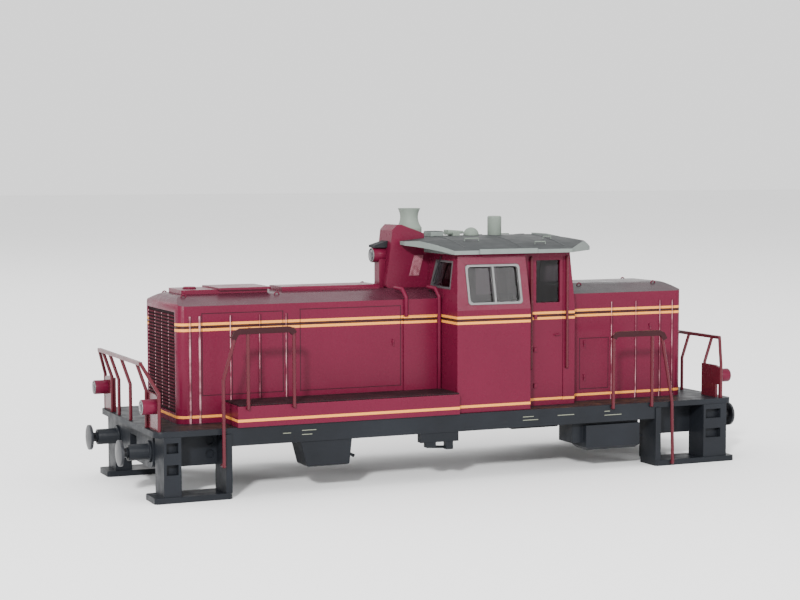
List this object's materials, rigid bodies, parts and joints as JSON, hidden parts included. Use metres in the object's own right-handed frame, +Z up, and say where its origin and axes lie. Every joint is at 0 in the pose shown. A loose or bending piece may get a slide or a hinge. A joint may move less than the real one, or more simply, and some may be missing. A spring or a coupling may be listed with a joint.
{
  "type": "model diesel locomotive",
  "caption": "Centre-cab model diesel shunter: hollow body shells on a black underframe, without wheels, standing on its corner steps, with sprung buffers.",
  "frame": {"origin": "middle of the base, on the plane of the undersides of the four corner steps", "axes": "+X towards the short hood (rear), -X towards the radiator (front), +Y to the right of a driver facing the front, +Z up"},
  "size_m": [0.1202, 0.0372, 0.0474],
  "materials": {
    "burgundy_body": "satin burgundy paint on plastic",
    "roof_grey": "matt grey-green paint",
    "light_grey": "matt light grey paint",
    "silver_frame": "silver printed plastic",
    "dark_rubber": "matt black",
    "clear_glazing": "clear moulded glazing",
    "plain_steel": "plain steel",
    "tread_black": "matt black tread plate",
    "interior_grey": "unpainted grey plastic",
    "board_green": "circuit board",
    "frame_black": "satin black moulded plastic"
  },
  "bodies": {
    "locomotive": {"air_tank_boxes": "frame_black", "battery_box_left": "frame_black", "battery_box_right": "frame_black", "body_screws": "plain_steel", "brake_brackets": "frame_black", "buffer_sleeves": "frame_black", "buffer_springs": "plain_steel", "cab_door_left": "burgundy_body", "cab_door_right": "burgundy_body", "cab_floor": "interior_grey", "cab_roof": "roof_grey", "cab_shell": "burgundy_body", "chimney": "light_grey", "dome_grilles": "dark_rubber", "door_grab_rails": "burgundy_body", "driver_desk": "interior_grey", "driver_seats": "interior_grey", "exhaust_dome": "burgundy_body", "filler_cap": "burgundy_body", "frame": "frame_black", "front_buffer_beam": "frame_black", "front_cab_glazing": "clear_glazing", "front_handrails": "burgundy_body", "front_left_step": "frame_black", "front_railing": "burgundy_body", "front_right_step": "frame_black", "front_window_gaskets": "dark_rubber", "hood_pipes": "burgundy_body", "hood_ridge": "burgundy_body", "hood_top_cover": "burgundy_body", "lamp_housings": "burgundy_body", "lamp_lenses": "clear_glazing", "light_boards": "board_green", "long_hood": "burgundy_body", "radiator_grille": "burgundy_body", "rain_strips": "roof_grey", "rear_buffer_beam": "frame_black", "rear_cab_glazing": "clear_glazing", "rear_handrails": "burgundy_body", "rear_lamp_housing": "burgundy_body", "rear_left_step": "frame_black", "rear_railing": "burgundy_body", "rear_right_step": "frame_black", "rear_window_gaskets": "dark_rubber", "roof_bell": "light_grey", "roof_box": "roof_grey", "roof_hatch": "roof_grey", "roof_horn": "light_grey", "roof_vent": "light_grey", "short_hood": "burgundy_body", "side_window_frames": "silver_frame", "top_lamp_housing": "burgundy_body", "top_lamp_shade": "dark_rubber", "walkway_box_left": "burgundy_body", "walkway_box_right": "burgundy_body", "walkway_treads": "tread_black"},
    "front_left_buffer_plunger": {"front_left_buffer_plunger": "frame_black"},
    "front_right_buffer_plunger": {"front_right_buffer_plunger": "frame_black"},
    "rear_left_buffer_plunger": {"rear_left_buffer_plunger": "frame_black"},
    "rear_right_buffer_plunger": {"rear_right_buffer_plunger": "frame_black"}
  },
  "joints": [
    {"name": "front_left_buffer_slide", "type": "slide", "parent": "locomotive", "child": "front_left_buffer_plunger", "axis": [1, 0, 0], "range_m": [0, 0.0009], "stiffness_N_per_m": 100, "springref_m": -0.0005},
    {"name": "front_right_buffer_slide", "type": "slide", "parent": "locomotive", "child": "front_right_buffer_plunger", "axis": [1, 0, 0], "range_m": [0, 0.0009], "stiffness_N_per_m": 100, "springref_m": -0.0005},
    {"name": "rear_left_buffer_slide", "type": "slide", "parent": "locomotive", "child": "rear_left_buffer_plunger", "axis": [-1, 0, 0], "range_m": [0, 0.0009], "stiffness_N_per_m": 100, "springref_m": -0.0005},
    {"name": "rear_right_buffer_slide", "type": "slide", "parent": "locomotive", "child": "rear_right_buffer_plunger", "axis": [-1, 0, 0], "range_m": [0, 0.0009], "stiffness_N_per_m": 100, "springref_m": -0.0005}
  ]
}
